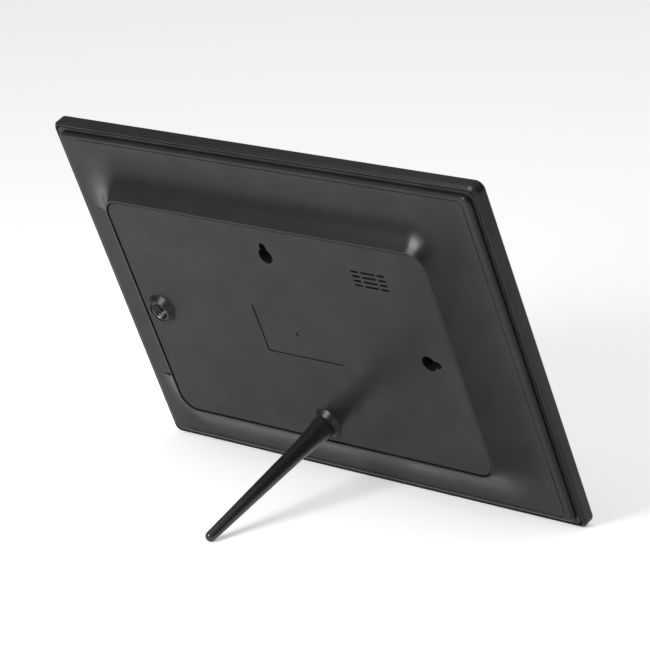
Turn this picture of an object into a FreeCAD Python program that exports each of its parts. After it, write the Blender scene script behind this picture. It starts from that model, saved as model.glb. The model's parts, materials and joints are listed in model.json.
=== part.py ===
import FreeCAD, Part
import math
import os
import Sketcher

# Digital photo frame standing on its bottom edge and a screw-in leg.
# Every piece is drawn lying on its face: x to the right and y up as seen from behind,
# z from the front face (z = 0) towards the back. One placement then leans them all.

doc = FreeCAD.newDocument("photo_frame")
sheet = doc.addObject("Spreadsheet::Sheet", "sizes")
pieces = []


# ---------------------------------------------------------------- driving sizes

class Size:
    """A number together with the spreadsheet formula that gives it."""

    def __init__(self, value, text):
        self.value = value
        self.text = text

    def join(self, other, sign, value):
        return Size(value, f"({self.text} {sign} {as_size(other).text})")

    def __add__(self, other):
        return self.join(other, "+", self.value + as_size(other).value)

    def __sub__(self, other):
        return self.join(other, "-", self.value - as_size(other).value)

    def __mul__(self, other):
        return self.join(other, "*", self.value * as_size(other).value)

    def __truediv__(self, other):
        return self.join(other, "/", self.value / as_size(other).value)

    def __neg__(self):
        return Size(-self.value, f"(0 - {self.text})")

    def __radd__(self, other):
        return as_size(other) + self

    def __rsub__(self, other):
        return as_size(other) - self

    def __rmul__(self, other):
        return as_size(other) * self


def as_size(number):
    return number if isinstance(number, Size) else Size(float(number), f"{float(number):.6g}")


def root(size):
    return Size(math.sqrt(size.value), f"sqrt({size.text})")


def size(alias, value, note):
    row = size.row = size.row + 1
    sheet.set(f"A{row}", note)
    sheet.set(f"B{row}", str(value))
    sheet.setAlias(f"B{row}", alias)
    return Size(float(value), f"sizes.{alias}")


size.row = 0
frame_width = size("frame_width", 270, "outside width")
frame_height = size("frame_height", 191.4, "outside height")
corner = size("outer_corner", 4.5, "outside corner radius")
edge_depth = size("edge_depth", 6.9, "depth of the front moulding's side wall")
edge_bevel = size("edge_bevel", 1.2, "bevel on its rear edge")
face_wall = size("face_wall", 2.2, "thickness of the front face")
side_wall = size("side_wall", 1.9, "thickness of the side wall")
view_width = size("view_width", 219, "window width")
view_height = size("view_height", 137.4, "window height")
joint_gap = size("joint_gap", 0.55, "parting line between the two mouldings")
step_inset = size("step_inset", 4.2, "perimeter to the rear step")
step_top = size("step_top", 9.2, "front face to the top of the step")
step_round = size("step_round", 1.7, "rounding of the step")
shell_wall = size("shell_wall", 1.8, "rear shell thickness")
floor_wall = size("floor_wall", 1.5, "port bay floor thickness")
crown_width = size("crown_width", 205.6, "raised back width")
crown_height = size("crown_height", 128.6, "raised back height")
crown_corner = size("crown_corner", 10, "raised back corner radius")
crown_top = size("crown_top", 20.7, "front face to the raised back")
crown_round = size("crown_round", 0.8, "rounding of the raised edge")
cove_run = size("cove_run", 22.5, "how far the hollow side runs out")
land = size("land", 1.1, "rim between the raised edge and the plate's gap")
plate_gap = size("plate_gap", 0.7, "gap round the back plate")
plate_wall = size("plate_wall", 1.8, "back plate thickness")
plate_drop = size("plate_drop", 0.45, "how far the back plate lies below the raised edge")
ledge = size("ledge", 4.4, "shelf that carries the back plate")
ledge_wall = size("ledge_wall", 1.1, "shelf thickness")
bay_top = size("bay_top", 49, "port bay upper end")
bay_bottom = size("bay_bottom", 54.2, "port bay lower end, below the middle")
bay_ramp = size("bay_ramp", 4, "how far the bay's lower end slopes")
socket_x = size("socket_x", 89.6, "side leg socket from the middle")
socket_y = size("socket_y", 51.8, "bottom leg socket below the middle")
collar_foot = size("collar_foot", 8.5, "collar radius at its foot")
collar_head = size("collar_head", 6.3, "collar radius at its top")
collar_rise = size("collar_rise", 2.1, "collar height")
thread_bore = size("thread_bore", 4.25, "thread drawn at its core radius")
insert_outer = size("insert_outer", 5.6, "threaded insert radius")
leg_length = size("leg_length", 87, "collar top to the centre of the tip")
leg_foot = size("leg_foot", 6.0, "leg radius at the collar")
leg_tip = size("leg_tip", 2.65, "leg tip radius")
washer_wall = size("washer_wall", 0.7, "rubber washer thickness")
fit_gap = size("fit_gap", 0.08, "running clearance")
key_pitch = size("key_pitch", 7, "distance between keys")
key_width = size("key_width", 5.2, "key width")
key_depth = size("key_depth", 4, "key height above the board side")
key_level = size("key_level", 13.6, "front face to the middle of the keys")
board_level = size("board_level", 9.4, "front face to the main board")
board_wall = size("board_wall", 1.2, "circuit board thickness")
key_board_face = size("key_board_face", 97.5, "key board's outer face from the middle")
key_travel = size("key_travel", 0.4, "how far a key goes in")
bracket_post = size("bracket_post", 3.6, "height of the display's screw posts")
doc.recompute()

plate_top = crown_top - plate_drop
back_face = plate_top - plate_wall
socket_top = crown_top + collar_rise
wall_out = crown_width / 2
wall_in = wall_out - shell_wall
board_top = board_level + board_wall
cove_rise = crown_top - step_top
crease_side, crease_top, crease_width = 8.4, 6.7, 0.4
cove_radius = (cove_run * cove_run + cove_rise * cove_rise) / (cove_rise * 2)


# ---------------------------------------------------------------- drawing helpers

def bind(item, prop, value):
    """Sets a property, by formula when the value depends on a driving size."""
    if isinstance(value, Size):
        item.setExpression(prop, value.text)
    elif prop.startswith("AttachmentOffset.Base."):
        offset = item.AttachmentOffset
        setattr(offset.Base, prop[-1], value)
        item.AttachmentOffset = offset
    else:
        setattr(item, prop, value)


def new_body(name):
    item = doc.addObject("PartDesign::Body", name)
    item.Label = name
    pieces.append(item)
    return item


def origin_plane(item, role):
    return next(f for f in item.Origin.OriginFeatures if f.Role == role)


def new_sketch(item, name, offset=0, role="XY_Plane"):
    drawing = item.newObject("Sketcher::SketchObject", f"{item.Name}_{name}")
    drawing.AttachmentSupport = [(origin_plane(item, role), "")]
    drawing.MapMode = "FlatFace"
    bind(drawing, "AttachmentOffset.Base.z", offset)
    return drawing


def limit(rules, value, kind, *places):
    """Adds a dimension to a list of rules, each a constraint and what it is bound to."""
    rules.append((Sketcher.Constraint(kind, *places, as_size(value).value), value))


def pin(rules, geo, pos, x, y):
    """Ties one point of a sketch to its distances from the origin."""
    for kind, axis, value in (("DistanceX", -2, x), ("DistanceY", -1, y)):
        number = as_size(value).value
        if abs(number) < 1e-9:
            rules.append((Sketcher.Constraint("PointOnObject", geo, pos, axis), None))
        elif number > 0:
            limit(rules, value, kind, -1, 1, geo, pos)
        else:
            limit(rules, -value, kind, geo, pos, -1, 1)


def apply(drawing, rules):
    first = drawing.ConstraintCount
    drawing.addConstraint([rule for rule, _ in rules])
    for number, (_, value) in enumerate(rules):
        if isinstance(value, Size):
            bind(drawing, f"Constraints[{first + number}]", value)


def vector(x, y):
    return FreeCAD.Vector(as_size(x).value, as_size(y).value, 0)


def circle(drawing, x, y, radius):
    ring = Part.Circle(vector(x, y), FreeCAD.Vector(0, 0, 1), as_size(radius).value)
    geo = drawing.addGeometry(ring)
    rules = []
    pin(rules, geo, 3, x, y)
    limit(rules, radius, "Radius", geo)
    apply(drawing, rules)


def arc(a, b, radius, turn):
    """Arc from a to b of less than half a turn: turn is 1 anticlockwise, -1 clockwise."""
    chord = b - a
    rise = math.sqrt(max(radius ** 2 - chord.Length ** 2 / 4, 0))
    middle = (a + b) / 2 + FreeCAD.Vector(-chord.y, chord.x, 0) / chord.Length * rise * turn
    angles = [math.atan2(p.y - middle.y, p.x - middle.x) for p in (a, b)]
    low, high = angles if turn > 0 else angles[::-1]
    ring = Part.Circle(middle, FreeCAD.Vector(0, 0, 1), radius)
    return Part.ArcOfCircle(ring, low, high + (2 * math.pi if high < low else 0))


def outline(drawing, corners):
    """Closed outline. A corner is (x, y), or (x, y, radius, turn) when an arc leads to the next."""
    rules, runs = [], []
    for number, start in enumerate(corners):
        end = corners[(number + 1) % len(corners)]
        a, b = vector(*start[:2]), vector(*end[:2])
        if len(start) == 2:
            geo = drawing.addGeometry(Part.LineSegment(a, b))
            head, tail = 1, 2
        else:
            radius, turn = start[2:]
            geo = drawing.addGeometry(arc(a, b, as_size(radius).value, turn))
            head, tail = (1, 2) if turn > 0 else (2, 1)
            limit(rules, radius, "Radius", geo)
        pin(rules, geo, head, *start[:2])
        runs.append((geo, head, tail))
    for (geo, _, tail), (following, head, _) in zip(runs, runs[1:] + runs[:1]):
        rules.append((Sketcher.Constraint("Coincident", geo, tail, following, head), None))
    apply(drawing, rules)


def rectangle(drawing, x, y, width, height, radius=None):
    """Rectangle about the point x, y, with rounded corners when a radius is given."""
    left, right = -width / 2 + x, width / 2 + x
    low, high = -height / 2 + y, height / 2 + y
    if radius is None:
        outline(drawing, [(left, low), (right, low), (right, high), (left, high)])
        return
    r = radius
    outline(drawing, [
        (left + r, low), (right - r, low, r, 1), (right, low + r), (right, high - r, r, 1),
        (right - r, high), (left + r, high, r, 1), (left, high - r), (left, low + r, r, 1),
    ])


def pad(item, drawing, length, back=False):
    feature = item.newObject("PartDesign::Pad", f"{drawing.Name}_pad")
    feature.Profile = drawing
    bind(feature, "Length", length)
    feature.Reversed = back
    drawing.Visibility = False
    return feature


def pocket(item, drawing, length, back=False):
    """Cuts towards the front; back=True cuts the other way. Checks that it removed material."""
    doc.recompute()
    before = item.Shape.Volume
    feature = item.newObject("PartDesign::Pocket", f"{drawing.Name}_cut")
    feature.Profile = drawing
    bind(feature, "Length", length)
    feature.Reversed = back
    doc.recompute()
    assert item.Shape.Volume < before - 1e-3, feature.Name
    return feature


def dress(item, kind, name, test, amount):
    """Rounds (Fillet) or bevels (Chamfer) those edges of the body that pass the test."""
    doc.recompute()
    base = item.Tip
    edges = [f"Edge{n + 1}" for n, edge in enumerate(item.Shape.Edges) if test(edge)]
    feature = item.newObject(f"PartDesign::{kind}", f"{item.Name}_{name}")
    feature.Base = (base, edges)
    bind(feature, "Radius" if kind == "Fillet" else "Size", amount)
    doc.recompute()
    return feature


def at_level(edge, level):
    """True for an edge that lies flat at this height."""
    low, high = edge.BoundBox.ZMin, edge.BoundBox.ZMax
    return abs(low - as_size(level).value) < 1e-4 and high - low < 1e-4


def plate(name, low, thickness, loops):
    """A body cut from sheet: each loop is (shape, sizes...), the outer ones first."""
    item = new_body(name)
    drawing = new_sketch(item, "outline", low)
    for shape, *values in loops:
        shape(drawing, *values)
    pad(item, drawing, thickness)
    return item


# ---------------------------------------------------------------- mouldings

def make_front_bezel():
    """Front moulding: a shallow tray with the picture window in its face."""
    item = new_body("front_bezel")
    outer = new_sketch(item, "outer")
    rectangle(outer, 0, 0, frame_width, frame_height, corner)
    pad(item, outer, edge_depth)
    inner = new_sketch(item, "inner", edge_depth)
    rectangle(inner, 0, 0, frame_width - side_wall * 2, frame_height - side_wall * 2, corner - side_wall)
    pocket(item, inner, edge_depth - face_wall)
    window = new_sketch(item, "window", face_wall)
    rectangle(window, 0, 0, view_width, view_height)
    pocket(item, window, face_wall)

    dress(item, "Chamfer", "rear_bevel", lambda e: at_level(e, edge_depth) and is_outer(e), edge_bevel)
    dress(item, "Fillet", "front_round", lambda e: at_level(e, 0) and is_outer(e), 1.2)
    dress(item, "Chamfer", "window_bevel", lambda e: at_level(e, 0) and is_window(e), 1.4)
    posts = new_sketch(item, "posts", face_wall)
    for x, y in bracket_places():
        circle(posts, x, y, 3)
    pad(item, posts, bracket_post)
    holes = new_sketch(item, "post_holes", face_wall + bracket_post)
    for x, y in bracket_places():
        circle(holes, x, y, 1)
    pocket(item, holes, 3.2)
    return item


def is_outer(edge):
    middle = edge.valueAt((edge.FirstParameter + edge.LastParameter) / 2)
    return (abs(middle.x) > frame_width.value / 2 - 1.5 or abs(middle.y) > frame_height.value / 2 - 1.5)


def is_window(edge):
    middle = edge.valueAt((edge.FirstParameter + edge.LastParameter) / 2)
    return (abs(middle.x) < view_width.value / 2 + 0.1 and abs(middle.y) < view_height.value / 2 + 0.1)


def bracket_places():
    """Screw posts above and below the display, where its brackets sit."""
    return [(x, y) for x in (-92, 92) for y in (-79.4, 79.4)]


def cove_profile(drawing, foot_wall):
    """The shell's section, from the flat foot up the hollow side to the shelf."""
    foot = wall_out + cove_run
    centre = step_top + cove_radius
    inner_radius = cove_radius + shell_wall
    edge = crown_round
    down = cove_radius - cove_rise + edge
    across = root((cove_radius + edge) * (cove_radius + edge) - down * down)
    edge_x = foot - across * cove_radius / (cove_radius + edge)
    edge_z = centre - down * cove_radius / (cove_radius + edge)
    shelf_top = back_face
    shelf_low = back_face - ledge_wall
    drop = centre - shelf_low
    inner_x = foot - root(inner_radius * inner_radius - drop * drop)
    outline(drawing, [
        (foot + 1, step_top),
        (foot, step_top, cove_radius, -1),
        (edge_x, edge_z, edge, 1),
        (foot - across, crown_top),
        (wall_out - land, crown_top),
        (wall_out - land, shelf_top),
        (wall_out - land - ledge, shelf_top),
        (wall_out - land - ledge, shelf_low),
        (inner_x, shelf_low, inner_radius, 1),
        (foot, step_top - foot_wall),
        (foot + 1, step_top - foot_wall),
    ])


def make_rear_shell():
    """Rear moulding: stepped rim, hollow-sided crown, shelf for the plate, port bay at the left."""
    item = new_body("rear_shell")
    reach = side_wall + joint_gap
    rim = new_sketch(item, "rim", edge_depth - 1.5)
    rectangle(rim, 0, 0, frame_width - reach * 2, frame_height - reach * 2, corner - 1.5)
    pad(item, rim, 1.5)
    step = new_sketch(item, "step", edge_depth - 1.5)
    rectangle(step, 0, 0, frame_width - step_inset * 2, frame_height - step_inset * 2, 4)
    pad(item, step, step_top - edge_depth + 1.5)
    dress(item, "Fillet", "step_round", lambda e: at_level(e, step_top), step_round)
    hollow = new_sketch(item, "hollow", edge_depth - 1.5)
    inset = step_inset + 1.6
    rectangle(hollow, 0, 0, frame_width - inset * 2, frame_height - inset * 2, 3)
    pocket(item, hollow, step_top - shell_wall - edge_depth + 1.5, back=True)
    crease = new_sketch(item, "crease", step_top)
    far = 118
    half_x, half_y = (frame_width / 2 - crease_side), (frame_height / 2 - crease_top)
    bend, inner_bend = 3.5, 3.5 - crease_width
    outline(crease, [
        (-far, half_y), (half_x - bend, half_y, bend, -1), (half_x, half_y - bend),
        (half_x, bend - half_y, bend, -1), (half_x - bend, -half_y), (-far, -half_y),
        (-far, crease_width - half_y), (half_x - bend, crease_width - half_y, inner_bend, 1),
        (half_x - crease_width, bend - half_y), (half_x - crease_width, half_y - bend, inner_bend, 1),
        (half_x - bend, half_y - crease_width), (-far, half_y - crease_width),
    ])
    pocket(item, crease, 0.3)
    opening = new_sketch(item, "opening", step_top)
    rectangle(opening, 0, 0, crown_width + (cove_run + 0.5) * 2, crown_height + (cove_run + 0.5) * 2,
              crown_corner + cove_run + 0.5)
    pocket(item, opening, shell_wall)
    path = new_sketch(item, "path", crown_top)
    rectangle(path, 0, 0, crown_width, crown_height, crown_corner)
    section = new_sketch(item, "section", 0, "XZ_Plane")
    cove_profile(section, shell_wall)
    sweep = item.newObject("PartDesign::AdditivePipe", "rear_shell_cove")
    sweep.Profile = section
    sweep.Spine = (path, [f"Edge{n + 1}" for n in range(8)])
    sweep.Transition = "Transformed"
    doc.recompute()
    add_port_bay(item)
    return item


def add_port_bay(item):
    """Cuts the hollow side back to an upright wall at the left and puts a floor before it."""
    length = bay_top + bay_bottom
    middle = (bay_top - bay_bottom) / 2
    foot = wall_out + cove_run
    floor = new_sketch(item, "bay_floor", step_top - floor_wall)
    rectangle(floor, -(wall_in + (foot - wall_in + 0.5) / 2), middle, foot - wall_in + 0.5, length + shell_wall)
    pad(item, floor, floor_wall)
    wall = new_sketch(item, "bay_wall", step_top - floor_wall)
    rectangle(wall, -(wall_out - shell_wall / 2), middle, shell_wall, length + shell_wall * 2)
    pad(item, wall, back_face - step_top + floor_wall)
    for name, start, depth in (("bay_head", bay_top, shell_wall),
                               ("bay_end", -bay_bottom - shell_wall, bay_ramp + shell_wall)):
        cheek = new_sketch(item, name, -start, "XZ_Plane")
        outline(cheek, [
            (-wall_in, step_top - floor_wall),
            (-foot, step_top - floor_wall),
            (-foot, step_top, cove_radius, 1),
            (-wall_out - 0.4, cheek_top()),
            (-wall_in, cheek_top()),
        ])
        pad(item, cheek, depth, back=True)
    room = new_sketch(item, "bay_room", -wall_out, "YZ_Plane")
    outline(room, [
        (bay_top, step_top), (bay_top, crown_top + 1),
        (bay_ramp - bay_bottom, crown_top + 1), (-bay_bottom, step_top),
    ])
    pocket(item, room, cove_run + 0.5)
    doc.recompute()
    ports = new_sketch(item, "port_holes", -(wall_in - 0.2), "YZ_Plane")
    for y in key_places():
        rectangle(ports, y, key_level, key_width + 0.4, key_depth + 0.4, 0.8)
    rectangle(ports, card_y, card_z, 25.2, 3.4, 0.8)
    rectangle(ports, usb_y, usb_z, 13.4, 6, 0.6)
    circle(ports, power_y, power_z, 3.3)
    circle(ports, audio_y, audio_z, 3.1)
    pocket(item, ports, shell_wall + 0.6)
    posts = new_sketch(item, "key_posts", -wall_in - 0.2, "YZ_Plane")
    for y in key_post_places():
        circle(posts, y, key_level, 1.25)
    pad(item, posts, wall_in - key_board_face + 0.2)
    pilots = new_sketch(item, "key_pilots", -key_board_face, "YZ_Plane")
    for y in key_post_places():
        circle(pilots, y, key_level, 0.6)
    pocket(item, pilots, 3)


def cheek_top():
    """Height of the hollow side 0.4 mm out from the crown's edge."""
    out = cove_run - 0.4
    return step_top + cove_radius - root(cove_radius * cove_radius - out * out)


def key_places():
    return [key_pitch * n for n in (2, 1, 0, -1, -2)]


def key_post_places():
    return (18.9, -18.9)


card_y, card_z = 33.5, board_top + 1.6
usb_y, usb_z = -27, board_top + 3.1
power_y, power_z = -38.6, board_top + 3.3
audio_y, audio_z = -46.9, board_top + 3.1


def keyhole(drawing, x, y, side, grow=0):
    """Keyhole for a screw head: a round part, and a slot towards side."""
    r, s = 4.15 + grow, 2.0 + grow
    neck = math.sqrt(r * r - s * s)
    far = 5.4
    if side == "up":
        outline(drawing, [
            (x - s, y + neck, r, 1), (x, y - r, r, 1), (x + s, y + neck),
            (x + s, y + far, s, 1), (x, y + far + s, s, 1), (x - s, y + far),
        ])
    else:
        outline(drawing, [
            (x + neck, y + s, r, 1), (x - r, y, r, 1), (x + neck, y - s),
            (x + far, y - s, s, 1), (x + far + s, y, s, 1), (x + far, y + s),
        ])


top_hole = (0.4, 46.7)
side_hole = (84.1, 0.4)


def make_rear_panel():
    """Flush back plate: keyholes, speaker slots, label recess and the two leg collars."""
    item = new_body("rear_panel")
    inset = (land + plate_gap) * 2
    outer = new_sketch(item, "outer", back_face)
    rectangle(outer, 0, 0, crown_width - inset, crown_height - inset, crown_corner - land - plate_gap)
    pad(item, outer, plate_wall)
    places = ((-socket_x, 0), (0, -socket_y))
    for number, (x, y) in enumerate(places):
        collar = item.newObject("PartDesign::AdditiveCone", f"rear_panel_collar_{number}")
        collar.AttachmentSupport = [(origin_plane(item, "XY_Plane"), "")]
        collar.MapMode = "FlatFace"
        bind(collar, "AttachmentOffset.Base.x", x)
        bind(collar, "AttachmentOffset.Base.y", y)
        bind(collar, "AttachmentOffset.Base.z", plate_top)
        bind(collar, "Radius1", collar_foot)
        bind(collar, "Radius2", collar_head)
        bind(collar, "Height", collar_rise + plate_drop)
    bosses = new_sketch(item, "bosses", back_face)
    for x, y in places:
        circle(bosses, x, y, insert_outer + 1)
    pad(item, bosses, 6, back=True)
    add_hooks(item)
    pockets = new_sketch(item, "hanger_boxes", back_face)
    keyhole(pockets, *top_hole, "up", 2.0)
    keyhole(pockets, *side_hole, "right", 2.0)
    pad(item, pockets, 5.5, back=True)
    bores = new_sketch(item, "insert_bores", socket_top)
    for x, y in places:
        circle(bores, x, y, insert_outer)
    pocket(item, bores, 12)
    hangers = new_sketch(item, "keyholes", plate_top)
    keyhole(hangers, *top_hole, "up")
    keyhole(hangers, *side_hole, "right")
    pocket(item, hangers, plate_wall)
    rooms = new_sketch(item, "hanger_rooms", back_face - 4.3)
    for x, y, w, h in ((top_hole[0], top_hole[1] + 2.7, 8.3, 13.7), (side_hole[0] + 2.7, side_hole[1], 13.7, 8.3)):
        rectangle(rooms, x, y, w, h, 4.1)
    pocket(item, rooms, 4.3, back=True)
    pilots = new_sketch(item, "speaker_pilots", back_face)
    for x, y in speaker_screw_places():
        circle(pilots, x, y, 0.75)
    pocket(item, pilots, 1.3, back=True)
    slots = new_sketch(item, "speaker_slots", plate_top)
    for x, width in ((56.4, 4.6), (64.5, 8.4), (72.4, 4.5)):
        for row in range(4):
            rectangle(slots, x, 47.4 - 2.6 * row, width, 1.05, 0.25)
    pocket(item, slots, plate_wall)
    label = new_sketch(item, "label_recess", plate_top)
    rectangle(label, 2, 1.35, 48.8, 27.5, 1.0)
    pocket(item, label, 0.35)
    mark = new_sketch(item, "gate_mark", plate_top)
    circle(mark, 2.4, 1.6, 1.4)
    pocket(item, mark, 0.7)
    return item


def add_hooks(item):
    """Snap hooks that reach past the shelf's inner edge and catch under it."""
    inner = crown_height / 2 - land - ledge
    stems = new_sketch(item, "hook_stems", back_face)
    nibs = new_sketch(item, "hook_nibs", back_face - ledge_wall - 0.12)
    for x in (-60, 60):
        for sign in (-1, 1):
            rectangle(stems, x, sign * (inner - 0.8), 8, 1.3)
            rectangle(nibs, x, sign * (inner - 0.35), 8, 2.2)
    pad(item, stems, 3.2, back=True)
    pad(item, nibs, 1.2, back=True)


def speaker_screw_places():
    return [(speaker_x - 18.6, speaker_y), (speaker_x + 18.6, speaker_y)]


speaker_x, speaker_y = 64.4, 43.5


# ---------------------------------------------------------------- leg

def make_leg():
    """Tapered leg with a flared foot, turned about its own axis, and bored for the stud."""
    item = new_body("leg")
    base = socket_top + washer_wall + fit_gap * 2
    tip = socket_top + leg_length
    flare_end = base + 22
    flare = new_sketch(item, "profile", 0, "YZ_Plane")
    centre = -socket_y
    outline(flare, [
        (centre, base),
        (centre + 5.3, base),
        (centre + leg_foot, base + 0.7),
        (centre + leg_foot, base + 0.8, 195, -1),
        (centre + 4.2, flare_end),
        (centre + leg_tip, tip, leg_tip, 1),
        (centre, tip + leg_tip),
    ])
    spin = item.newObject("PartDesign::Revolution", "leg_turned")
    spin.Profile = flare
    axis = new_sketch(item, "axis", 0, "YZ_Plane")
    line = axis.addGeometry(Part.LineSegment(vector(centre, base), vector(centre, tip)))
    rules = []
    pin(rules, line, 1, centre, base)
    pin(rules, line, 2, centre, tip)
    apply(axis, rules)
    spin.ReferenceAxis = (axis, ["Edge1"])
    spin.Angle = 360
    bore = new_sketch(item, "stud_bore", base)
    circle(bore, 0, centre, 3.0)
    pocket(item, bore, 14, back=True)
    return item


def make_leg_stud():
    """Steel stud moulded into the leg: a plain shank above, the thread below."""
    item = new_body("leg_stud")
    base = socket_top + washer_wall + fit_gap * 2
    thread = new_sketch(item, "thread", socket_top - 9.4)
    circle(thread, 0, -socket_y, thread_bore - fit_gap)
    pad(item, thread, 9.4 + washer_wall + fit_gap * 2)
    shank = new_sketch(item, "shank", base)
    circle(shank, 0, -socket_y, 2.95)
    pad(item, shank, 13.5)
    dress(item, "Chamfer", "lead_in", lambda e: at_level(e, socket_top - 9.4), 0.6)
    return item


def make_washer():
    """Rubber washer between the collar and the leg."""
    return plate("leg_washer", socket_top + fit_gap, washer_wall,
                 [(circle, 0, -socket_y, 5.7), (circle, 0, -socket_y, thread_bore + 0.1)])


def make_insert(name, x, y):
    """Threaded metal insert pressed into a collar."""
    item = plate(name, socket_top - 11.6, 11.3, [(circle, x, y, insert_outer - 0.04), (circle, x, y, thread_bore)])
    dress(item, "Chamfer", "mouth", lambda e: at_level(e, socket_top - 0.3)
          and abs(e.Curve.Radius - thread_bore.value) < 0.01, 0.6)
    return item


# ---------------------------------------------------------------- display

def make_display():
    """Liquid crystal module, from the gasket behind the window back to its tray."""
    plate("window_gasket", face_wall + 0.02, 0.4, [
        (rectangle, 0, 0, 228, 146.4), (rectangle, 0, 0, view_width + 1, view_height + 1)])
    frame = new_body("display_frame")
    lip = new_sketch(frame, "lip", 2.65)
    rectangle(lip, 0, 0, 229.5, 149.5, 0.6)
    rectangle(lip, 0, 0, view_width + 2, view_height + 2)
    pad(frame, lip, 0.25)
    sides = new_sketch(frame, "sides", 2.65)
    rectangle(sides, 0, 0, 229.5, 149.5, 0.6)
    rectangle(sides, 0, 0, 229, 149, 0.4)
    pad(frame, sides, 4.5)
    plate("display_glass", 2.95, 1.4, [(rectangle, 0, 0, 228, 147.4)])
    plate("diffuser_films", 4.4, 0.4, [(rectangle, 0, 0.8, 226, 144.4)])
    plate("light_guide", 4.85, 1.6, [(rectangle, 0, 1.6, 226, 142.4)])
    plate("reflector_sheet", 6.5, 0.12, [(rectangle, 0, 0.8, 226, 144.4)])
    plate("backlight_tray", 6.68, 0.45, [(rectangle, 0, 0, 228.4, 148.4, 0.4)])
    strip = plate("led_strip", 4.9, 1.5, [(rectangle, 0, -72.7, 222, 0.8)])
    lamps = new_sketch(strip, "lamps", 5.0)
    for number in range(27):
        rectangle(lamps, -104 + 8 * number, -71.9, 3.5, 1.2)
    pad(strip, lamps, 1.2)


def make_brackets():
    """Four steel clips that hold the display down, each with its screw."""
    clips = new_body("display_brackets")
    seat = face_wall + bracket_post + 0.05
    feet = new_sketch(clips, "feet", seat)
    risers = new_sketch(clips, "risers", seat)
    straps = new_sketch(clips, "straps", 7.25)
    for x, y in bracket_places():
        sign = 1 if y > 0 else -1
        rectangle(feet, x, sign * 79.2, 9, 8.4)
        rectangle(risers, x, sign * 75.3, 9, 0.6)
        rectangle(straps, x, sign * 71, 9, 9.2)
    pad(clips, feet, 0.5)
    pad(clips, risers, 7.75 - seat)
    pad(clips, straps, 0.5)
    holes = new_sketch(clips, "holes", seat + 0.5)
    for x, y in bracket_places():
        circle(holes, x, y, 1.4)
    pocket(clips, holes, 0.5)
    make_screws("bracket_screws", bracket_places(), seat + 0.55, 3.6, 1)


def make_screws(name, places, seat, length, radius, role="XY_Plane", head_out=1):
    """Pan-head screws with cross recesses; head_out is 1 when the heads point along the normal."""
    item = new_body(name)
    heads = new_sketch(item, "heads", seat, role)
    shanks = new_sketch(item, "shanks", seat, role)
    recesses = new_sketch(item, "recesses", seat + head_out * 0.9, role)
    for x, y in places:
        circle(heads, x, y, radius * 1.9)
        circle(shanks, x, y, radius - 0.05)
        outline(recesses, cross(x, y, radius * 1.1, radius * 0.25))
    pad(item, heads, 0.9, back=head_out < 0)
    pad(item, shanks, length, back=head_out > 0)
    pocket(item, recesses, 0.5, back=head_out < 0)
    return item


def cross(x, y, reach, half):
    """The twelve corners of a cross recess, anticlockwise from its right arm."""
    arm = [(reach, -half), (reach, half), (half, half)]
    corners = []
    for _ in range(4):
        corners += [(a + x, b + y) for a, b in arm]
        arm = [(-b, a) for a, b in arm]
    return corners


# ---------------------------------------------------------------- electronics

def make_main_board():
    """Steel mounting plate on the display's back, and the main board on its four posts."""
    base = plate("mounting_plate", 7.3, 0.35, [(rectangle, -67, -4.5, 62, 102, 2)])
    posts = new_sketch(base, "posts", 7.3)
    taps = new_sketch(base, "taps", board_level - 0.05)
    for x, y in board_screw_places():
        circle(posts, x, y, 2.4)
        circle(taps, x, y, 1.05)
    pad(base, posts, board_level - 7.35)
    pocket(base, taps, board_level - 7.35)
    board = new_body("main_board")
    shape = new_sketch(board, "shape", board_level)
    outline(shape, [
        (-98.3, -56.5), (-38, -56.5), (-38, 48), (-98.3, 48),
        (-98.3, 21.5), (-95, 21.5), (-95, -21.5), (-98.3, -21.5),
    ])
    for x, y in board_screw_places():
        circle(shape, x, y, 1.3)
    pad(board, shape, board_wall)
    make_screws("board_screws", board_screw_places(), board_top + 0.05, 2.9, 1.05)


def board_screw_places():
    return [(-42, 43), (-42, -52), (-67, 44), (-80, -52)]


def make_board_parts():
    """The larger components on the main board."""
    seat = board_top + 0.05
    plate("processor", seat, 1.2, [(rectangle, -62, -5, 14, 14, 0.4)])
    plate("memory_chips", seat, 1.1, [(rectangle, -62, y, 12, 8, 0.2) for y in (14, 26)])
    plate("power_coils", seat, 3.2, [(rectangle, x, -34, 6.5, 6.5, 1) for x in (-62, -70)])
    plate("capacitors", seat, 5.4, [(circle, x, y, 2.5) for x, y in ((-50, -44), (-50, -37), (-57, -44))])
    plate("ribbon_socket", seat, 1.6, [(rectangle, -41.6, -14, 4, 20)])
    plate("speaker_plug", seat, 2.6, [(rectangle, -42, 28, 5, 5)])


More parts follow.
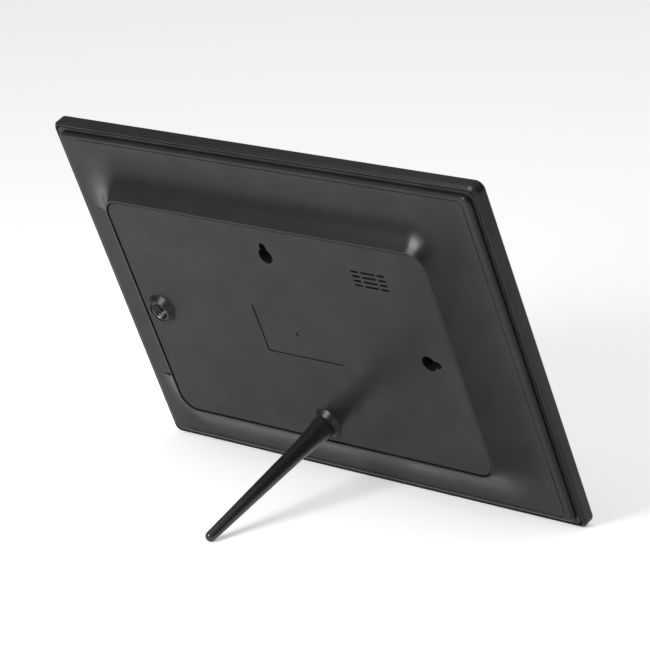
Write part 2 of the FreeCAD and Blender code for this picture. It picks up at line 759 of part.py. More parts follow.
def make_sockets():
    """Card, drive, power and sound sockets along the port bay's wall."""
    seat = board_top + 0.05
    card = plate("card_socket", seat, 3, [(rectangle, -86.2, card_y, 26, 26)])
    slot = new_sketch(card, "slot", -99.2, "YZ_Plane")
    rectangle(slot, card_y, card_z, 24.3, 2.3)
    pocket(card, slot, 23, back=True)
    usb = new_body("usb_socket")
    shell = new_sketch(usb, "shell", -102.4, "YZ_Plane")
    rectangle(shell, usb_y, usb_z, 13.1, 5.7, 0.6)
    pad(usb, shell, 14.4)
    mouth = new_sketch(usb, "mouth", -102.4, "YZ_Plane")
    rectangle(mouth, usb_y, usb_z, 12.5, 5.1, 0.4)
    pocket(usb, mouth, 13.4, back=True)
    tongue = new_body("usb_tongue")
    blade = new_sketch(tongue, "blade", -100.6, "YZ_Plane")
    rectangle(blade, usb_y, usb_z - 0.9, 11.2, 1.8)
    pad(tongue, blade, 11.5)
    for name, y, z, width, height, nose, bore in (
            ("power_socket", power_y, power_z, 9, 6.4, 3.15, 2.4),
            ("audio_socket", audio_y, audio_z, 6.6, 5.8, 2.95, 1.8)):
        item = new_body(name)
        block = new_sketch(item, "block", -100.8, "YZ_Plane")
        rectangle(block, y, z, width, height, 0.5)
        pad(item, block, 12)
        collar = new_sketch(item, "nose", -102.6, "YZ_Plane")
        circle(collar, y, z, nose)
        pad(item, collar, 3)
        hole = new_sketch(item, "bore", -102.6, "YZ_Plane")
        circle(hole, y, z, bore)
        pocket(item, hole, 10.5, back=True)
    centre_pin = new_body("power_pin")
    wire = new_sketch(centre_pin, "wire", -101.4, "YZ_Plane")
    circle(wire, power_y, power_z, 0.65)
    pad(centre_pin, wire, 9.3)


def make_keys():
    """Five keys in the bay wall, the switches behind them and the small board that carries both."""
    board = new_body("key_board")
    face = new_sketch(board, "face", -key_board_face + 0.05, "YZ_Plane")
    rectangle(face, 0, 13.2, 40.6, 7.4, 0.6)
    for y in key_post_places():
        circle(face, y, key_level, 0.8)
    pad(board, face, 0.9)
    switches = new_body("key_switches")
    cans = new_sketch(switches, "cans", -key_board_face, "YZ_Plane")
    plungers = new_sketch(switches, "plungers", -key_board_face - 1.5, "YZ_Plane")
    for y in key_places():
        rectangle(cans, y, key_level, 4.6, 4.6, 0.3)
        circle(plungers, y, key_level, 1.1)
    pad(switches, cans, 1.6, back=True)
    pad(switches, plungers, 0.35, back=True)
    stem_end = -key_board_face - 1.85 - key_travel - 0.1
    for name, y in zip(("power_key", "menu_key", "up_key", "down_key", "back_key"), key_places()):
        key = new_body(name)
        flange = new_sketch(key, "flange", -wall_in + 0.2, "YZ_Plane")
        rectangle(flange, y, key_level, 6.2, 5, 0.6)
        pad(key, flange, wall_in - 0.2 + stem_end)
        cap = new_sketch(key, "cap", -wall_out - 0.9, "YZ_Plane")
        rectangle(cap, y, key_level, key_width, key_depth, 0.7)
        pad(key, cap, shell_wall + 1.2)
        dress(key, "Fillet", "edge", lambda e: e.BoundBox.XMax < -wall_out.value - 0.89, 0.3)
    make_screws("key_board_screws", [(y, key_level) for y in key_post_places()],
                -key_board_face + 1, 2.9, 0.6, "YZ_Plane")


def make_speaker():
    """Flat loudspeaker under the slots, its dust cloth, screws and lead."""
    speaker = plate("speaker", back_face - 1.7, 1.2, [(rectangle, speaker_x, speaker_y, 42, 19, 3)] + [
        (circle, x, y, 0.9) for x, y in speaker_screw_places()])
    box = new_sketch(speaker, "box", back_face - 1.6)
    rectangle(box, speaker_x, speaker_y, 31, 19, 3)
    pad(speaker, box, 4, back=True)
    magnet = new_sketch(speaker, "magnet", back_face - 5.5)
    circle(magnet, speaker_x, speaker_y, 7)
    pad(speaker, magnet, 2.4, back=True)
    cone = new_sketch(speaker, "cone", back_face - 0.5)
    rectangle(cone, speaker_x, speaker_y, 26, 14, 6)
    pocket(speaker, cone, 2)
    plate("speaker_cloth", back_face - 0.4, 0.25, [(rectangle, speaker_x, speaker_y, 29, 17, 3)])
    make_screws("speaker_screws", speaker_screw_places(), back_face - 1.8, 2.8, 0.75, head_out=-1)
    lead = new_body("speaker_lead")
    path = new_sketch(lead, "path", 12.1)
    route(path, [(48.6, 41), (28, 31), (-24, 31), (-39.2, 28)], 14)
    section = new_sketch(lead, "section", 48.6, "YZ_Plane")
    circle(section, 41, 12.1, 0.7)
    sweep = lead.newObject("PartDesign::AdditivePipe", "speaker_lead_run")
    sweep.Profile = section
    sweep.Spine = (path, [f"Edge{n + 1}" for n in range(path.GeometryCount)])
    sweep.Transition = "Transformed"


def route(drawing, points, radius):
    """Open path of straight runs joined by tangent arcs of one radius."""
    places = [FreeCAD.Vector(x, y, 0) for x, y in points]
    start = places[0]
    rules, runs = [], []
    for before, at, after in zip(places, places[1:], places[2:]):
        come, leave = (at - before).normalize(), (after - at).normalize()
        turn = 1 if come.cross(leave).z > 0 else -1
        reach = radius * math.tan(come.getAngle(leave) / 2)
        a, b = at - come * reach, at + leave * reach
        runs.append((Part.LineSegment(start, a), start, 1, 2))
        runs.append((arc(a, b, radius, turn), a, 1 if turn > 0 else 2, 2 if turn > 0 else 1))
        start = b
    runs.append((Part.LineSegment(start, places[-1]), start, 1, 2))
    tail = None
    for shape, at, head, end in runs:
        geo = drawing.addGeometry(shape)
        pin(rules, geo, head, at.x, at.y)
        if tail:
            rules.append((Sketcher.Constraint("Coincident", *tail, geo, head), None))
        if isinstance(shape, Part.ArcOfCircle):
            limit(rules, radius, "Radius", geo)
        tail = (geo, end)
    pin(rules, *tail, *points[-1])
    apply(drawing, rules)


def make_ribbon():
    """Flat cable from the display's back up to its socket on the main board."""
    item = new_body("display_ribbon")
    side = new_sketch(item, "side", 5, "XZ_Plane")
    low, high, skin = 7.3, board_top + 0.75, 0.2
    outline(side, [
        (-12, low), (-12, low + skin), (-21, low + skin), (-34, high + skin),
        (-39.5, high + skin), (-39.5, high), (-34, high), (-21, low),
    ])
    pad(item, side, 18)


# ---------------------------------------------------------------- assembly

def lean_angle():
    """Lean at which the bottom rear edge and the leg's tip rest on the same level."""
    out = socket_top.value + leg_length.value - (edge_depth.value - edge_bevel.value)
    up = frame_height.value / 2 - socket_y.value
    return math.atan2(up, out) - math.asin(leg_tip.value / math.hypot(up, out))


def standing():
    """Placement that stands the frame up, leaning back, with its origin under its middle."""
    lean = lean_angle()
    s, c = math.sin(lean), math.cos(lean)
    turn = FreeCAD.Rotation(FreeCAD.Vector(-1, 0, 0), FreeCAD.Vector(0, s, c), FreeCAD.Vector(0, c, -s), "ZXY")
    half = frame_height.value / 2
    rear_edge = edge_depth.value - edge_bevel.value
    lowest = -rear_edge * s - half * c
    front = -(half - 1.2) * s - 1.2 * (1 - c)
    back = (socket_top + leg_length).value * c - socket_y.value * s + leg_tip.value
    return FreeCAD.Placement(FreeCAD.Vector(0, -(front + back) / 2, -lowest), turn)


make_front_bezel()
make_display()
make_brackets()
make_main_board()
make_board_parts()
make_sockets()
make_rear_shell()
make_keys()
make_speaker()
make_ribbon()
make_rear_panel()
make_insert("side_socket_insert", -socket_x, 0)
make_insert("bottom_socket_insert", 0, -socket_y)
make_washer()
make_leg_stud()
make_leg()
doc.recompute()

stand = standing()
for piece in pieces:
    piece.Placement = stand
doc.recompute()

failed = [o.Name for o in doc.Objects if "Invalid" in o.State or "Error" in o.State]
assert not failed, failed
os.makedirs("parts", exist_ok=True)
for piece in pieces:
    assert not piece.Shape.isNull() and piece.Shape.isValid(), piece.Label
    piece.Shape.exportStep(f"parts/{piece.Label}.step")
    print(piece.Label, len(piece.Shape.Solids), round(piece.Shape.Volume))
print(len(pieces), "pieces, leaning", round(math.degrees(lean_angle()), 2), "degrees")
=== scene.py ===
import json
import math

import bmesh
import bpy
from mathutils import Matrix, Vector


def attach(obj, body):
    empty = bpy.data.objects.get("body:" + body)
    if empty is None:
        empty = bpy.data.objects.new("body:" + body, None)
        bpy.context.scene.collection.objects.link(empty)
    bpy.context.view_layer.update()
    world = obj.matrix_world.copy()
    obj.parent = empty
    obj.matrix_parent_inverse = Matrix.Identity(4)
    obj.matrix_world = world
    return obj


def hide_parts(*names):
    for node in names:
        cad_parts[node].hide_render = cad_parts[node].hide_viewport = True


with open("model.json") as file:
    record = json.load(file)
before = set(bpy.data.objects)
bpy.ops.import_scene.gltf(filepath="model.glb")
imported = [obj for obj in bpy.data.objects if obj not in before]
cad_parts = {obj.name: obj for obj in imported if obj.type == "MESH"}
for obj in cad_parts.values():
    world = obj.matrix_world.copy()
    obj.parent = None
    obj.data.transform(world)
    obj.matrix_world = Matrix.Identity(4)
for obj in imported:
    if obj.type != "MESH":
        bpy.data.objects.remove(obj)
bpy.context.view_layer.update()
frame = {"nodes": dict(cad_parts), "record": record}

mm = 0.001
nodes = frame["nodes"]
record = frame["record"]
scene = bpy.context.scene


def linearColor(hexText):
    # sRGB hex to linear values
    parts = [int(hexText[i:i + 2], 16) / 255 for i in (1, 3, 5)]
    return [p / 12.92 if p <= 0.04045 else ((p + 0.055) / 1.055) ** 2.4 for p in parts] + [1.0]


def addNode(tree, kind, settings=None, links=None):
    # a setting goes to the input of that name when there is one, else to the node itself;
    # a link gives an input the (node, output) that feeds it
    node = tree.nodes.new(kind)
    for name, value in (settings or {}).items():
        if not isinstance(name, int) and hasattr(node, name):
            setattr(node, name, value)
        else:
            node.inputs[name].default_value = value
    for name, (source, output) in (links or {}).items():
        tree.links.new(source.outputs[output], node.inputs[name])
    return node


def newMaterial(name):
    material = bpy.data.materials.new(name)
    material.use_nodes = True
    tree = material.node_tree
    tree.nodes.clear()
    shader = addNode(tree, "ShaderNodeBsdfPrincipled")
    addNode(tree, "ShaderNodeOutputMaterial", links={"Surface": (shader, "BSDF")})
    place = addNode(tree, "ShaderNodeTexCoord")
    return material, tree, shader, place


# the part of a noise pattern that is used, since its ends are rarely reached
middleBand = {"From Min": 0.3, "From Max": 0.7}

mouldedPlastic = {
    # shellAbs: fine spark-textured ABS, the eye sees an even satin black with a soft sparkle
    "shellAbs": {"color": "#171718", "worn": "#1e1e1f", "rough": (0.24, 0.34), "grain": 0.55, "depth": 0.016,
                 "cloud": 26.0, "ior": 1.52, "level": 0.22},
    # panelAbs: the same resin from a tool with a finer spark texture, a little smoother
    "panelAbs": {"color": "#161617", "worn": "#1d1d1e", "rough": (0.26, 0.36), "grain": 0.45, "depth": 0.010,
                 "cloud": 22.0, "ior": 1.52, "level": 0.20},
    # bezelAbs: satin ABS from a blasted tool, an even sheen with hardly any grain
    "bezelAbs": {"color": "#161617", "worn": "#1e1e1f", "rough": (0.30, 0.38), "grain": 0.5, "depth": 0.006,
                 "cloud": 30.0, "ior": 1.52, "level": 0.22},
    # legAbs: gloss ABS from a polished tool, sharp narrow highlights and a few hairline rubs
    "legAbs": {"color": "#19191a", "worn": "#212122", "rough": (0.20, 0.30), "grain": 1.4, "depth": 0.004,
               "cloud": 9.0, "ior": 1.54, "level": 0.5},
    # keyAbs: satin ABS keycaps, rubbed a little smoother by fingers
    "keyAbs": {"color": "#2b2b2d", "worn": "#3a3a3c", "rough": (0.28, 0.44), "grain": 0.35, "depth": 0.006,
               "cloud": 3.0, "ior": 1.52, "level": 0.5},
    # socketNylon: glass-filled nylon of connectors, slightly mottled and dull
    "socketNylon": {"color": "#171717", "worn": "#242424", "rough": (0.42, 0.6), "grain": 0.3, "depth": 0.01,
                    "cloud": 2.0, "ior": 1.53, "level": 0.4},
    # paleNylon: unfilled nylon of ribbon and wire connectors, milky and waxy
    "paleNylon": {"color": "#d6d3c6", "worn": "#c4c0b0", "rough": (0.35, 0.5), "grain": 0.4, "depth": 0.006,
                  "cloud": 3.0, "ior": 1.53, "level": 0.5},
    # chipEpoxy: transfer-moulded epoxy of chips and coils, dull with a fine sandy skin
    "chipEpoxy": {"color": "#1c1c1d", "worn": "#2c2c2d", "rough": (0.5, 0.68), "grain": 0.12, "depth": 0.008,
                  "cloud": 2.5, "ior": 1.55, "level": 0.4},
}


def makePlastic(name):
    want = mouldedPlastic[name]
    material, tree, shader, place = newMaterial(name)
    shader.inputs["IOR"].default_value = want["ior"]
    shader.inputs["Specular IOR Level"].default_value = want["level"]
    # grain size and cloud size are in millimetres, and noise scale is features per metre
    grain = addNode(tree, "ShaderNodeTexNoise", {"Scale": 1 / (want["grain"] * mm), "Detail": 3.0, "Roughness": 0.65},
                    {"Vector": (place, "Object")})
    cloud = addNode(tree, "ShaderNodeTexNoise", {"Scale": 1 / (want["cloud"] * mm), "Detail": 4.0, "Distortion": 0.6},
                    {"Vector": (place, "Object")})
    # handling leaves slightly paler, smoother patches
    # of a colour mix, socket 0 is the amount, 6 and 7 are the two colours, and output 2 is the result
    blend = addNode(tree, "ShaderNodeMapRange", {"From Min": 0.42, "From Max": 0.72}, {"Value": (cloud, "Fac")})
    tone = addNode(tree, "ShaderNodeMix",
                   {"data_type": "RGBA", 6: linearColor(want["color"]), 7: linearColor(want["worn"])},
                   {0: (blend, "Result")})
    gloss = addNode(tree, "ShaderNodeMapRange",
                    {**middleBand, "To Min": want["rough"][1], "To Max": want["rough"][0]},
                    {"Value": (cloud, "Fac")})
    fine = addNode(tree, "ShaderNodeMath", {"operation": "MULTIPLY_ADD", 1: 0.10, 2: -0.05}, {0: (grain, "Fac")})
    both = addNode(tree, "ShaderNodeMath", {"operation": "ADD"}, {0: (gloss, "Result"), 1: (fine, "Value")})
    bump = addNode(tree, "ShaderNodeBump", {"Strength": 1.0, "Distance": want["depth"] * mm},
                   {"Height": (grain, "Fac")})
    tree.links.new(tone.outputs[2], shader.inputs["Base Color"])
    tree.links.new(both.outputs["Value"], shader.inputs["Roughness"])
    tree.links.new(bump.outputs["Normal"], shader.inputs["Normal"])
    return material


metalFinish = {
    # blackZinc: barrel-plated black zinc on turned steel, dark with turning marks that catch light
    "blackZinc": {"color": "#2b2b2d", "worn": "#56565a", "rough": (0.22, 0.36), "lines": 0.25, "depth": 0.006},
    # zincSteel: bright zinc-plated screws, cool grey with soft bluish variation
    "zincSteel": {"color": "#a9adb2", "worn": "#8d9197", "rough": (0.24, 0.4), "lines": 0.3, "depth": 0.004},
    # galvanisedSteel: rolled galvanised sheet, satin with long rolling lines and faint spangle
    "galvanisedSteel": {"color": "#9c9fa3", "worn": "#7f8388", "rough": (0.3, 0.48), "lines": 0.5, "depth": 0.004},
    # goldContact: hard gold plating on contacts and pins, warm and smooth
    "goldContact": {"color": "#c9a24e", "worn": "#a98236", "rough": (0.2, 0.32), "lines": 0.4, "depth": 0.002},
}


def makeMetal(name):
    want = metalFinish[name]
    material, tree, shader, place = newMaterial(name)
    shader.inputs["Metallic"].default_value = 1.0
    # rolling and turning marks run along X, so the pattern is stretched along it
    stretch = addNode(tree, "ShaderNodeMapping", {"Scale": (0.06, 1.0, 1.0)}, {"Vector": (place, "Object")})
    lines = addNode(tree, "ShaderNodeTexNoise", {"Scale": 1 / (want["lines"] * mm), "Detail": 2.0},
                    {"Vector": (stretch, "Vector")})
    spangle = addNode(tree, "ShaderNodeTexVoronoi", {"Scale": 1 / (4.0 * mm), "feature": "SMOOTH_F1"},
                      {"Vector": (place, "Object")})
    blend = addNode(tree, "ShaderNodeMapRange", {"From Min": 0.1, "From Max": 0.7}, {"Value": (spangle, "Distance")})
    tone = addNode(tree, "ShaderNodeMix",
                   {"data_type": "RGBA", 6: linearColor(want["color"]), 7: linearColor(want["worn"])},
                   {0: (blend, "Result")})
    gloss = addNode(tree, "ShaderNodeMapRange",
                    {**middleBand, "To Min": want["rough"][0], "To Max": want["rough"][1]},
                    {"Value": (lines, "Fac")})
    bump = addNode(tree, "ShaderNodeBump", {"Strength": 0.8, "Distance": want["depth"] * mm},
                   {"Height": (lines, "Fac")})
    tree.links.new(tone.outputs[2], shader.inputs["Base Color"])
    tree.links.new(gloss.outputs["Result"], shader.inputs["Roughness"])
    tree.links.new(bump.outputs["Normal"], shader.inputs["Normal"])
    return material


softFinish = {
    # nitrileRubber: compression-moulded washer, dull and slightly dusty
    "nitrileRubber": {"color": "#19191a", "worn": "#2b2a29", "rough": (0.62, 0.8), "cell": 0.5, "depth": 0.012},
    # cellFoam: die-cut polyurethane foam tape, open cells make it the dullest surface
    "cellFoam": {"color": "#1b1b1b", "worn": "#303030", "rough": (0.85, 0.98), "cell": 0.35, "depth": 0.05},
    # wirePvc: extruded PVC wire insulation, slightly waxy red
    "wirePvc": {"color": "#9a1f1c", "worn": "#7c1816", "rough": (0.36, 0.5), "cell": 0.8, "depth": 0.004},
    # polyesterFilm: matt white diffuser and reflector film, soft with a faint haze
    "polyesterFilm": {"color": "#e9e9e6", "worn": "#dcdcd8", "rough": (0.45, 0.6), "cell": 0.25, "depth": 0.003},
}


def makeSoft(name):
    want = softFinish[name]
    material, tree, shader, place = newMaterial(name)
    cell = addNode(tree, "ShaderNodeTexVoronoi", {"Scale": 1 / (want["cell"] * mm)}, {"Vector": (place, "Object")})
    dust = addNode(tree, "ShaderNodeTexNoise", {"Scale": 1 / (5.0 * mm), "Detail": 5.0},
                   {"Vector": (place, "Object")})
    blend = addNode(tree, "ShaderNodeMapRange", {"From Min": 0.45, "From Max": 0.75}, {"Value": (dust, "Fac")})
    tone = addNode(tree, "ShaderNodeMix",
                   {"data_type": "RGBA", 6: linearColor(want["color"]), 7: linearColor(want["worn"])},
                   {0: (blend, "Result")})
    gloss = addNode(tree, "ShaderNodeMapRange",
                    {**middleBand, "To Min": want["rough"][0], "To Max": want["rough"][1]},
                    {"Value": (dust, "Fac")})
    bump = addNode(tree, "ShaderNodeBump", {"Strength": 1.0, "Distance": want["depth"] * mm},
                   {"Height": (cell, "Distance")})
    tree.links.new(tone.outputs[2], shader.inputs["Base Color"])
    tree.links.new(gloss.outputs["Result"], shader.inputs["Roughness"])
    tree.links.new(bump.outputs["Normal"], shader.inputs["Normal"])
    return material


def makeGlass():
    # antiGlareGlass: etched display glass over a dark panel, deep blue-black with a hazy reflection
    material, tree, shader, place = newMaterial("antiGlareGlass")
    shader.inputs["IOR"].default_value = 1.52
    shader.inputs["Coat Weight"].default_value = 0.3
    shader.inputs["Coat Roughness"].default_value = 0.18
    etch = addNode(tree, "ShaderNodeTexNoise", {"Scale": 1 / (0.3 * mm), "Detail": 2.0},
                   {"Vector": (place, "Object")})
    smear = addNode(tree, "ShaderNodeTexNoise", {"Scale": 1 / (45 * mm), "Detail": 5.0, "Distortion": 1.2},
                    {"Vector": (place, "Object")})
    blend = addNode(tree, "ShaderNodeMapRange", {"From Min": 0.3, "From Max": 0.8}, {"Value": (smear, "Fac")})
    tone = addNode(tree, "ShaderNodeMix",
                   {"data_type": "RGBA", 6: linearColor("#0b0c10"), 7: linearColor("#111319")},
                   {0: (blend, "Result")})
    gloss = addNode(tree, "ShaderNodeMapRange",
                    {**middleBand, "To Min": 0.16, "To Max": 0.24},
                    {"Value": (smear, "Fac")})
    bump = addNode(tree, "ShaderNodeBump", {"Strength": 0.4, "Distance": 0.003 * mm}, {"Height": (etch, "Fac")})
    tree.links.new(tone.outputs[2], shader.inputs["Base Color"])
    tree.links.new(gloss.outputs["Result"], shader.inputs["Roughness"])
    tree.links.new(bump.outputs["Normal"], shader.inputs["Normal"])
    return material


def makeAcrylic():
    # lightGuideAcrylic: cast acrylic printed with a fine white dot grid, clear at the edges
    material, tree, shader, place = newMaterial("lightGuideAcrylic")
    shader.inputs["IOR"].default_value = 1.49
    shader.inputs["Transmission Weight"].default_value = 0.6
    dots = addNode(tree, "ShaderNodeTexVoronoi", {"Scale": 1 / (1.2 * mm), "Randomness": 0.0},
                   {"Vector": (place, "Object")})
    blend = addNode(tree, "ShaderNodeMapRange", {"From Min": 0.25, "From Max": 0.35}, {"Value": (dots, "Distance")})
    tone = addNode(tree, "ShaderNodeMix",
                   {"data_type": "RGBA", 6: linearColor("#f4f6f6"), 7: linearColor("#cfdadf")},
                   {0: (blend, "Result")})
    gloss = addNode(tree, "ShaderNodeMapRange",
                    {**middleBand, "To Min": 0.35, "To Max": 0.08},
                    {"Value": (dots, "Distance")})
    tree.links.new(tone.outputs[2], shader.inputs["Base Color"])
    tree.links.new(gloss.outputs["Result"], shader.inputs["Roughness"])
    return material


def makeBoard():
    # solderMaskBoard: FR4 laminate under green solder mask, copper tracks show as paler raised lines
    material, tree, shader, place = newMaterial("solderMaskBoard")
    shader.inputs["IOR"].default_value = 1.55
    tracks = addNode(tree, "ShaderNodeTexBrick", {"Scale": 1 / (9 * mm), "Mortar Size": 0.03, "Mortar Smooth": 0.2,
                     "Color1": linearColor("#0f4a2a"), "Color2": linearColor("#115231"),
                     "Mortar": linearColor("#2b7a48")}, {"Vector": (place, "Object")})
    weave = addNode(tree, "ShaderNodeTexNoise", {"Scale": 1 / (0.6 * mm), "Detail": 2.0},
                    {"Vector": (place, "Object")})
    gloss = addNode(tree, "ShaderNodeMapRange",
                    {**middleBand, "To Min": 0.22, "To Max": 0.36},
                    {"Value": (weave, "Fac")})
    bump = addNode(tree, "ShaderNodeBump", {"Strength": 0.7, "Distance": 0.03 * mm}, {"Height": (tracks, "Fac")})
    tree.links.new(tracks.outputs["Color"], shader.inputs["Base Color"])
    tree.links.new(gloss.outputs["Result"], shader.inputs["Roughness"])
    tree.links.new(bump.outputs["Normal"], shader.inputs["Normal"])
    return material


def makeCloth():
    # dustCloth: plain-woven polyester over the loudspeaker, 0.5 mm threads cross over and under
    material, tree, shader, place = newMaterial("dustCloth")
    shader.inputs["Sheen Weight"].default_value = 0.25
    warp = addNode(tree, "ShaderNodeTexWave", {"bands_direction": "X", "Scale": 1 / (0.5 * mm) / 20 * 3.2,
                   "Distortion": 0.4}, {"Vector": (place, "Object")})
    weft = addNode(tree, "ShaderNodeTexWave", {"bands_direction": "Z", "Scale": 1 / (0.5 * mm) / 20 * 3.2,
                   "Distortion": 0.4}, {"Vector": (place, "Object")})
    crossed = addNode(tree, "ShaderNodeMath", {"operation": "MULTIPLY"}, {0: (warp, "Fac"), 1: (weft, "Fac")})
    blend = addNode(tree, "ShaderNodeMapRange", {"From Min": 0.1, "From Max": 0.9}, {"Value": (crossed, "Value")})
    tone = addNode(tree, "ShaderNodeMix",
                   {"data_type": "RGBA", 6: linearColor("#0e0e0e"), 7: linearColor("#2a2a2a")},
                   {0: (blend, "Result")})
    gloss = addNode(tree, "ShaderNodeMapRange",
                    {**middleBand, "To Min": 0.75, "To Max": 0.9},
                    {"Value": (crossed, "Value")})
    bump = addNode(tree, "ShaderNodeBump", {"Strength": 1.0, "Distance": 0.1 * mm}, {"Height": (crossed, "Value")})
    tree.links.new(tone.outputs[2], shader.inputs["Base Color"])
    tree.links.new(gloss.outputs["Result"], shader.inputs["Roughness"])
    tree.links.new(bump.outputs["Normal"], shader.inputs["Normal"])
    return material


finishes = {name: makePlastic(name) for name in mouldedPlastic}
finishes.update({name: makeMetal(name) for name in metalFinish})
finishes.update({name: makeSoft(name) for name in softFinish})
finishes.update({"antiGlareGlass": makeGlass(), "lightGuideAcrylic": makeAcrylic(),
                 "solderMaskBoard": makeBoard(), "dustCloth": makeCloth()})

# which finish each of the record's slots is painted with
slotFinish = {
    "bezel_plastic": "bezelAbs", "shell_plastic": "shellAbs", "panel_plastic": "panelAbs", "leg_plastic": "legAbs",
    "key_plastic": "keyAbs", "rubber": "nitrileRubber", "foam": "cellFoam", "dark_metal": "blackZinc",
    "bright_steel": "galvanisedSteel", "brass_gold": "goldContact", "display_glass": "antiGlareGlass",
    "white_film": "polyesterFilm", "clear_acrylic": "lightGuideAcrylic", "circuit_board": "solderMaskBoard",
    "chip_epoxy": "chipEpoxy", "socket_plastic": "socketNylon", "white_plastic": "paleNylon",
    "dust_cloth": "dustCloth", "lead_pvc": "wirePvc",
}
slotOf = {part["node"]: part["material_slot"] for part in record["subparts"]}


def paint(piece, finish):
    piece.data.materials.clear()
    piece.data.materials.append(finishes[finish])


for name, piece in nodes.items():
    finish = "zincSteel" if name.endswith("_screws") else slotFinish[slotOf[name]]
    paint(piece, finish)
print("stage: finishes on", len(nodes), "nodes")


# directions: sideways is right as seen from behind, upward runs up the back, outward is square out of it
legSocket = next(m for m in record["mounts"] if m["name"] == "side_leg_socket")
outward = Vector(legSocket["axis"]).normalized()
upward = Vector((0, outward.z * -1, outward.y))
sideways = Vector((-1, 0, 0))


def standing(point, center):
    # a point drawn with z along the screw axis, put at the real place
    return center + sideways * point[0] + upward * point[1] + outward * point[2]


# sizes in millimetres, heights from the face plane
socketThread = {"pitch": 1.5, "crest": 4.25, "root": 4.95, "outer": 5.56, "bottom": 11.2, "top": 22.5,
                "mouth": 0.6, "stepsPerTurn": 64, "stepsPerPitch": 12, "knurls": 32, "knurlDepth": 0.12}
studThread = {"crest": 4.80, "root": 4.17, "bottom": 13.4, "top": 23.66, "runOut": 22.6, "leadIn": 0.8,
              "tipRadius": 3.4, "shankRadius": 2.95, "shankLength": 13.5}
socketMountLevel = 17 * mm   # how far the side socket's mount stands above the drawn face plane
bottomSocketAway = (89.6 * mm, -51.8 * mm)   # the bottom socket, from the side one


def meshPiece(name, rings, body, finish, closed=True, capped=False):
    # rings of points joined into a smooth skin, each ring a closed loop
    form = bmesh.new()
    loops = [[form.verts.new(p) for p in ring] for ring in rings]
    count = len(loops[0])
    pairs = list(zip(loops, loops[1:])) + ([(loops[-1], loops[0])] if closed else [])
    for a, b in pairs:
        for i in range(count):
            form.faces.new((a[i], a[(i + 1) % count], b[(i + 1) % count], b[i]))
    if capped:
        form.faces.new(loops[0])
        form.faces.new(loops[-1])
    bmesh.ops.recalc_face_normals(form, faces=form.faces)
    data = bpy.data.meshes.new(name)
    form.to_mesh(data)
    form.free()
    piece = bpy.data.objects.new(name, data)
    scene.collection.objects.link(piece)
    for face in data.polygons:
        face.use_smooth = True
    data.materials.append(finishes[finish])
    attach(piece, body)
    return piece


def threadHeight(phase, flat=0.125):
    # 60 degree metric profile: 1 at the ridge, 0 in the valley, with small flats
    turn = abs((phase % 1.0) - 0.5) * 2
    return min(max((turn - flat) / (1 - 2 * flat), 0.0), 1.0)


def socketCenter(mountX, mountY):
    # the point on the drawn face plane under a socket, from the known side socket
    side = Vector(legSocket["pos_m"]) - outward * socketMountLevel
    return side + sideways * mountX + upward * mountY


def makeInsert(name, center, replaced):
    want = socketThread
    turnSteps, rings = want["stepsPerTurn"], []
    length = want["top"] - want["bottom"]
    count = int(length / want["pitch"] * want["stepsPerPitch"])

    def ring(radiusAt, z):
        return [standing((radiusAt(a) * math.cos(a) * mm, radiusAt(a) * math.sin(a) * mm, z * mm), center)
                for a in (2 * math.pi * i / turnSteps for i in range(turnSteps))]

    for step in range(count + 1):
        z = want["bottom"] + length * step / count
        opened = max(0.0, want["mouth"] - (want["top"] - z))

        def inner(angle):
            ridge = threadHeight(z / want["pitch"] - angle / (2 * math.pi))
            return max(want["root"] - (want["root"] - want["crest"]) * ridge, want["crest"] + opened)
        rings.append(ring(inner, z))
    # outside: knurled bands that bite into the plastic
    for z, band in ((want["top"], 0), (want["top"] - 0.3, 1), (want["top"] - 4.5, 1), (want["top"] - 4.8, 0),
                    (want["bottom"] + 4.8, 0), (want["bottom"] + 4.5, 1), (want["bottom"] + 0.3, 1),
                    (want["bottom"], 0)):
        rings.append(ring(lambda a: want["outer"] - want["knurlDepth"] * (
            1 - band * (0.5 + 0.5 * math.cos(want["knurls"] * a))), z))
    piece = meshPiece(name, rings, "frame_body", "blackZinc")
    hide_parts(replaced)
    return piece


def circleRing(radius, z, center):
    # one plain ring of points about the screw axis
    turnSteps = socketThread["stepsPerTurn"]
    turns = (2 * math.pi * i / turnSteps for i in range(turnSteps))
    return [standing((radius * math.cos(a) * mm, radius * math.sin(a) * mm, z * mm), center) for a in turns]


def makeStud(center):
    want = studThread
    turnSteps, rings = socketThread["stepsPerTurn"], []
    pitch = socketThread["pitch"]
    length = want["top"] - want["bottom"]
    count = int(length / pitch * socketThread["stepsPerPitch"])
    for step in range(count + 1):
        z = want["bottom"] + length * step / count
        fade = min(1.0, max(0.0, (want["runOut"] - z) / 0.8), max(0.0, (z - want["bottom"]) / want["leadIn"]))
        points = []
        for i in range(turnSteps):
            angle = 2 * math.pi * i / turnSteps
            ridge = threadHeight(z / pitch - angle / (2 * math.pi) + 0.5)
            r = want["root"] + (want["crest"] - want["root"]) * ridge * fade
            points.append(standing((r * math.cos(angle) * mm, r * math.sin(angle) * mm, z * mm), center))
        rings.append(points)
    tip = circleRing(want["tipRadius"], want["bottom"], center)
    # the plain shank is moulded into the leg
    shank = [circleRing(want["shankRadius"], z, center) for z in (want["top"], want["top"] + want["shankLength"])]
    piece = meshPiece("legStudThreaded", [tip] + rings + shank, "leg", "blackZinc", closed=False,
                      capped=True)
    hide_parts("leg_stud")
    return piece


sideCenter = socketCenter(0, 0)
bottomCenter = socketCenter(*bottomSocketAway)
makeInsert("sideSocketThreaded", sideCenter, "side_socket_insert")
makeInsert("bottomSocketThreaded", bottomCenter, "bottom_socket_insert")
makeStud(bottomCenter)
print("stage: threads")


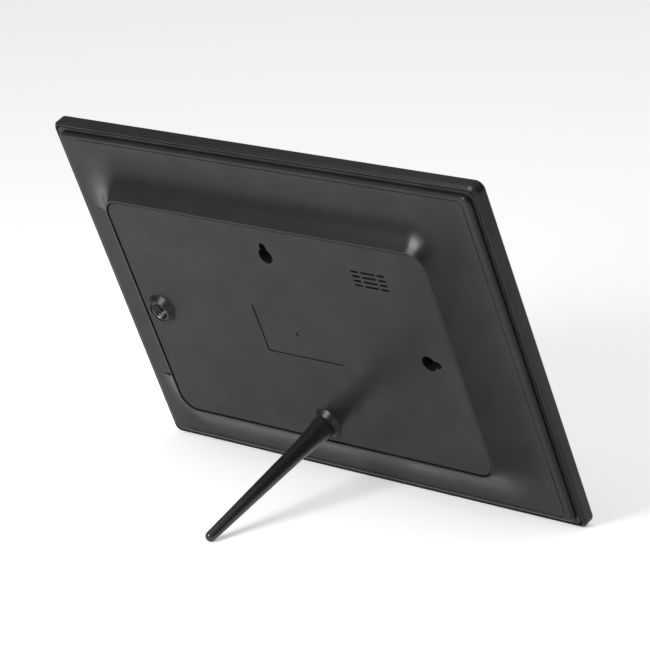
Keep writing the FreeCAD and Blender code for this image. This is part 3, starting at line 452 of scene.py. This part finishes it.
studio = {
    "floor": "#f6f6f6", "floorGlow": 0.38, "world": "#ffffff", "worldStrength": 0.22,
    "camera": (-1.0312, 1.0619, 0.5143), "aim": (-0.0138, -0.0131, 0.0900), "roll": -3.165, "lens": 180.73,
}

softboxes = [
    # name, middle, aimed at, width, height, power in watts
    ("overhead", (0.0, 0.0, 2.4), (0, 0, 0), 4.0, 4.0, 33.0),
    ("leftBox", (1.3, 1.0, 0.9), (0, 0, 0.1), 0.6, 0.8, 0.6),
    ("keyBox", (0.12, 0.82, 0.47), (-0.1, 0, 0.14), 0.44, 0.28, 8.0),
]


def makeFloor():
    form = bmesh.new()
    bmesh.ops.create_grid(form, x_segments=8, y_segments=8, size=6.0)
    data = bpy.data.meshes.new("floor")
    form.to_mesh(data)
    form.free()
    floor = bpy.data.objects.new("floor", data)
    scene.collection.objects.link(floor)
    material, tree, shader, place = newMaterial("paperSweep")
    shader.inputs["Base Color"].default_value = linearColor(studio["floor"])
    shader.inputs["Roughness"].default_value = 0.9
    shader.inputs["Specular IOR Level"].default_value = 0.1
    shader.inputs["Emission Color"].default_value = linearColor("#ffffff")
    shader.inputs["Emission Strength"].default_value = studio["floorGlow"]
    data.materials.append(material)


def makeLights():
    for name, middle, aim, width, height, power in softboxes:
        lamp = bpy.data.lights.new(name, "AREA")
        lamp.shape = "RECTANGLE"
        lamp.size, lamp.size_y, lamp.energy = width, height, power
        item = bpy.data.objects.new(name, lamp)
        scene.collection.objects.link(item)
        item.location = middle
        item.rotation_mode = "QUATERNION"
        item.rotation_quaternion = (Vector(aim) - Vector(middle)).to_track_quat("-Z", "Y")
    world = bpy.data.worlds.new("studioAir")
    world.use_nodes = True
    sky = world.node_tree.nodes["Background"]
    sky.inputs["Color"].default_value = linearColor(studio["world"])
    sky.inputs["Strength"].default_value = studio["worldStrength"]
    scene.world = world


def makeCamera():
    lens = bpy.data.cameras.new("camera")
    lens.lens, lens.sensor_width = studio["lens"], 36.0
    lens.clip_start, lens.clip_end = 0.05, 30.0
    camera = bpy.data.objects.new("camera", lens)
    scene.collection.objects.link(camera)
    place, aim = Vector(studio["camera"]), Vector(studio["aim"])
    look = (aim - place).to_track_quat("-Z", "Y").to_matrix().to_4x4()
    camera.matrix_world = Matrix.Translation(place) @ look @ Matrix.Rotation(math.radians(studio["roll"]), 4, "Z")
    scene.camera = camera


makeFloor()
makeLights()
makeCamera()
scene.view_settings.view_transform = "Standard"
print("stage: floor, light and camera")
